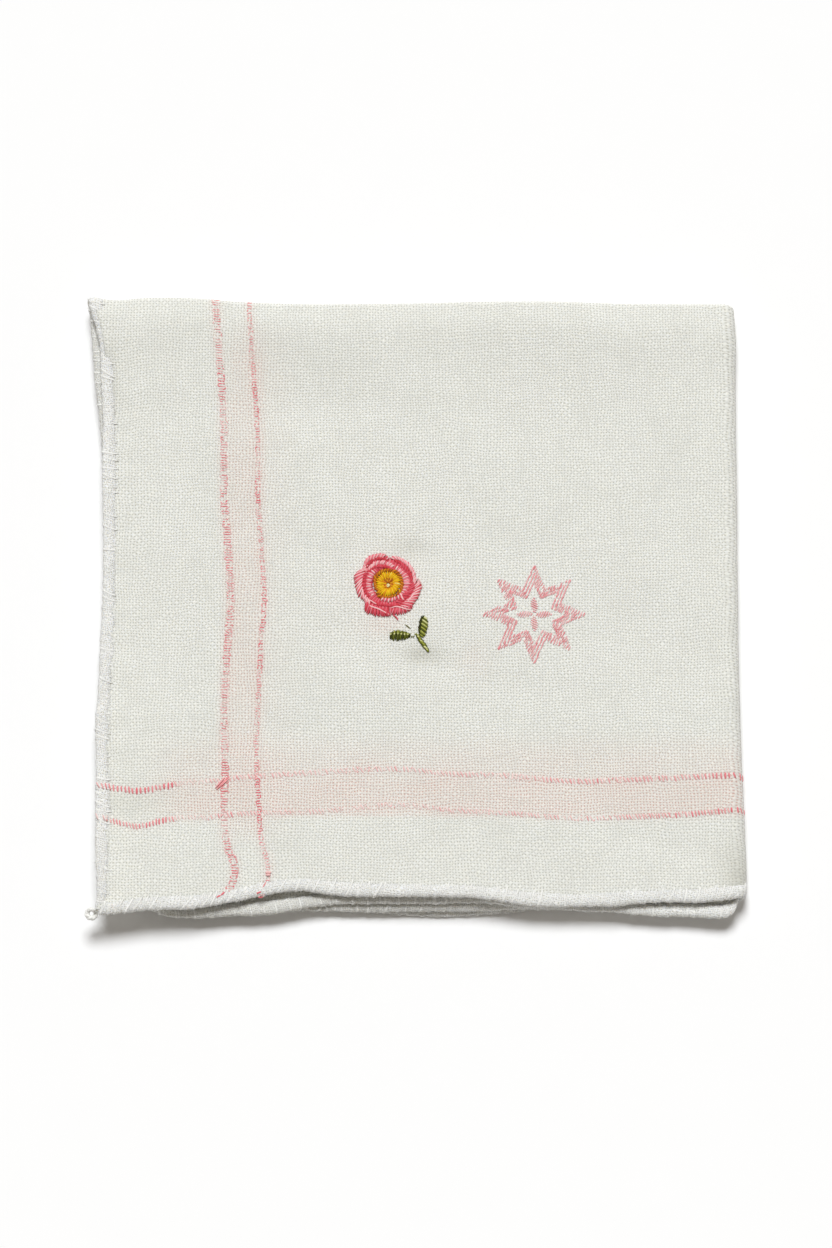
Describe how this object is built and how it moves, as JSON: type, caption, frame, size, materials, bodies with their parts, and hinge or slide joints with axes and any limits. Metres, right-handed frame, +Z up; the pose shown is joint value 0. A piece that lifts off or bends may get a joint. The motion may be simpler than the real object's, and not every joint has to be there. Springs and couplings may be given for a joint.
{
  "type": "folded linen handkerchief",
  "caption": "Square linen handkerchief folded in quarters, with a rolled whipped hem, pink border lines and a satin-stitched rose and star on its top layer.",
  "frame": {"origin": "middle of the folded square's outline box, on the surface it lies on", "axes": "+X to the right, towards the fold that closes the square; +Y away from the free front hems, towards the other fold; +Z up, out of the face with the rose"},
  "size_m": [0.1318, 0.13, 0.0084],
  "materials": {
    "linen": "matt off-white open plain weave with pink border lines",
    "pink_thread": "satin-stitched cotton with a soft sheen",
    "yellow_thread": "satin-stitched cotton with a soft sheen",
    "green_thread": "satin-stitched cotton with a soft sheen",
    "pale_pink_thread": "satin-stitched cotton with a soft sheen"
  },
  "bodies": {
    "root": {"cloth": "linen", "rose_petals": "pink_thread", "rose_centre": "yellow_thread", "leaf_low": "green_thread", "leaf_tall": "green_thread", "stem": "green_thread", "star_ring": "pale_pink_thread", "star_heart": "pale_pink_thread"}
  },
  "joints": []
}
